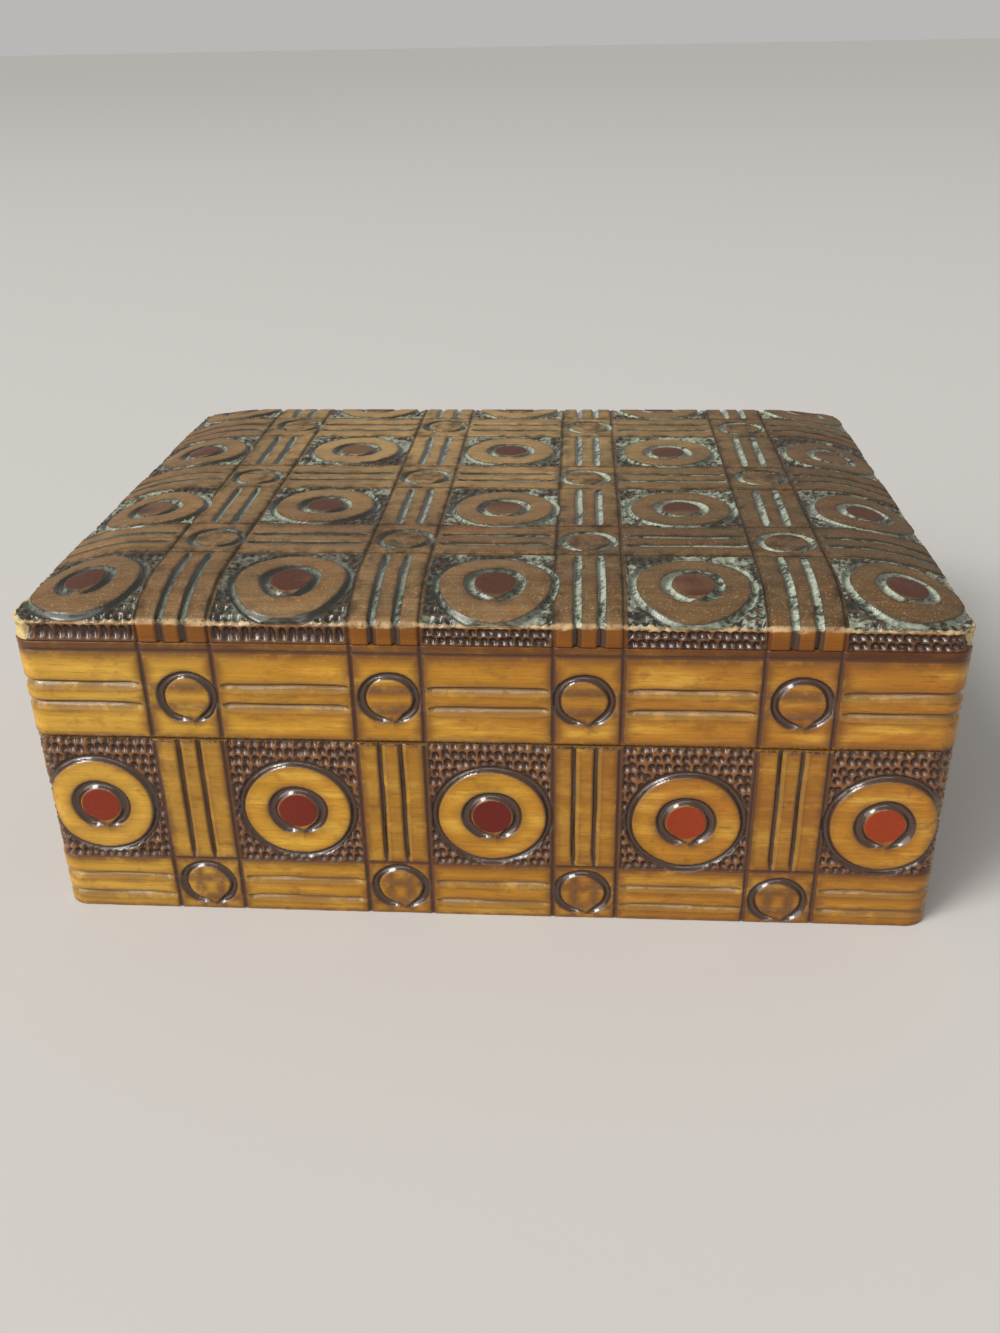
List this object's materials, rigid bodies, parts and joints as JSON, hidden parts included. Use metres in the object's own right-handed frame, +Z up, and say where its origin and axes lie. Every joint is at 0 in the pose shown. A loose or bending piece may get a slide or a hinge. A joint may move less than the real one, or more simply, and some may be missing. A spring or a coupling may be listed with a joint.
{
  "type": "trinket box",
  "caption": "Rectangular wooden trinket box with rounded corners, a pillowed lid hinged at the back and a carved ring pattern.",
  "frame": {"origin": "centre of the footprint, on the surface the box stands on", "axes": "+Z up, -Y towards the front, +X to the right seen from the front"},
  "size_m": [0.1516, 0.1186, 0.0601],
  "materials": {
    "amber_wood": "gloss varnish over amber stain",
    "brown_wood": "worn dark brown stain",
    "bare_wood": "bare sanded",
    "brass": "plain, a little dull"
  },
  "bodies": {
    "base": {"base_front_wall": "amber_wood", "base_back_wall": "amber_wood", "base_left_wall": "amber_wood", "base_right_wall": "amber_wood", "base_bottom_board": "bare_wood", "left_hinge_base_leaf": "brass", "left_hinge_pin": "brass", "left_hinge_base_screw_1": "brass", "left_hinge_base_screw_2": "brass", "right_hinge_base_leaf": "brass", "right_hinge_pin": "brass", "right_hinge_base_screw_1": "brass", "right_hinge_base_screw_2": "brass"},
    "lid": {"lid_front_rail": "amber_wood", "lid_back_rail": "amber_wood", "lid_left_rail": "amber_wood", "lid_right_rail": "amber_wood", "lid_top_board": "brown_wood", "left_hinge_lid_leaf": "brass", "left_hinge_lid_screw_1": "brass", "left_hinge_lid_screw_2": "brass", "right_hinge_lid_leaf": "brass", "right_hinge_lid_screw_1": "brass", "right_hinge_lid_screw_2": "brass"}
  },
  "joints": [
    {"name": "lid_hinge", "type": "hinge", "parent": "base", "child": "lid", "pos_m": [0, 0.05765, 0.0349], "axis": [-1, 0, 0], "range_deg": [0, 100]}
  ]
}
